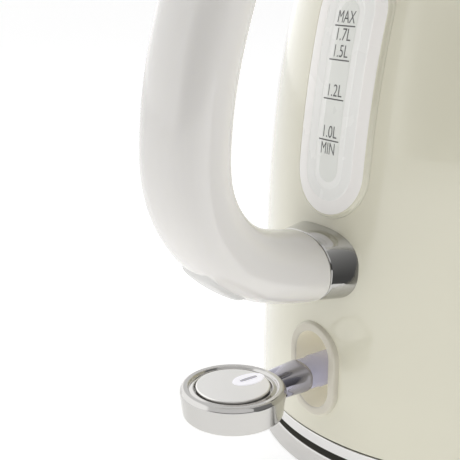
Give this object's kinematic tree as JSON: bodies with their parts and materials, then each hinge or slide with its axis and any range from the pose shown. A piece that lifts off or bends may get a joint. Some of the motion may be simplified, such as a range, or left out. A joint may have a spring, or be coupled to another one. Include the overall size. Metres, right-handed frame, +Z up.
{
  "type": "electric kettle",
  "caption": "Cordless electric kettle with a domed painted body, side handle, water gauge, thumb lever, hinged lid and round power base.",
  "frame": {"origin": "on the kettle's axis, at the surface the power base stands on", "axes": "+Z up along the kettle's axis, +X towards the spout, -X towards the handle and the switch lever"},
  "size_m": [0.2707, 0.1694, 0.2538],
  "materials": {
    "cream_paint": "high gloss cream enamel",
    "ivory_plastic": "gloss off-white",
    "bezel_plastic": "satin cream",
    "bright_metal": "polished chrome plate",
    "satin_metal": "fine satin",
    "steel": "stainless",
    "spring_steel": "plain",
    "gauge_clear": "frosted clear",
    "lever_clear": "clear with a violet tint",
    "lens_clear": "milky clear",
    "dark_plastic": "fine texture",
    "grey_plastic": "satin",
    "white_plastic": "satin",
    "black_rubber": "matt",
    "white_rubber": "translucent silicone",
    "brass": "plain",
    "aluminium": "plain"
  },
  "bodies": {
    "base": {"base_skirt": "bright_metal", "base_top_plate": "dark_plastic", "base_bottom_cover": "dark_plastic", "base_screws": "steel", "base_feet": "black_rubber", "base_connector": "dark_plastic", "base_contacts": "brass", "cord_gland": "black_rubber"},
    "guard_ring": {"connector_guard_ring": "grey_plastic"},
    "kettle": {"body_shell": "cream_paint", "body_ring": "bright_metal", "underside_cover": "dark_plastic", "underside_screws": "steel", "heating_plate": "steel", "vessel_seal": "white_rubber", "heat_spreader": "aluminium", "heating_element": "steel", "controller_body": "dark_plastic", "controller_contacts": "brass", "steam_tube": "white_plastic", "spout": "cream_paint", "filter_frame": "white_plastic", "filter_mesh": "steel", "gauge_rim": "cream_paint", "gauge_pane": "gauge_clear", "gauge_seal": "white_rubber", "handle_outer": "ivory_plastic", "handle_inner": "ivory_plastic", "handle_strap": "steel", "handle_screw_cover": "ivory_plastic", "lower_collar": "bright_metal", "upper_collar": "bright_metal", "handle_screws": "steel", "switch_bezel": "bezel_plastic", "switch_bracket": "dark_plastic", "lever_pin": "steel", "trip_spring": "spring_steel", "switch_lamp": "lens_clear", "steam_disc": "spring_steel", "rim_ring": "bright_metal", "hinge_bracket": "bright_metal", "hinge_pin": "steel"},
    "lid": {"lid_dome": "cream_paint", "lid_liner": "grey_plastic", "lid_seal": "white_rubber", "lid_hinge_arm": "bright_metal", "lid_knob": "bright_metal", "lid_knob_screw": "steel"},
    "lever": {"lever_bar": "lever_clear", "lever_sleeve": "bright_metal", "knob_shell": "bright_metal", "knob_cap": "satin_metal", "knob_lens": "lens_clear"}
  },
  "joints": [
    {"name": "base_swivel", "type": "hinge", "parent": "base", "child": "guard_ring", "pos_m": [0, 0, 0.009], "axis": [0, 0, 1], "continuous": true},
    {"name": "kettle_lift_off", "type": "slide", "parent": "guard_ring", "child": "kettle", "axis": [0, 0, 1], "range_m": [0, 0.08]},
    {"name": "lid_hinge", "type": "hinge", "parent": "kettle", "child": "lid", "pos_m": [-0.06, 0, 0.2182], "axis": [0, -1, 0], "range_deg": [0, 75]},
    {"name": "switch_lever", "type": "hinge", "parent": "kettle", "child": "lever", "pos_m": [-0.06, 0, 0.0405], "axis": [0, 1, 0], "range_deg": [-14, 0]}
  ]
}
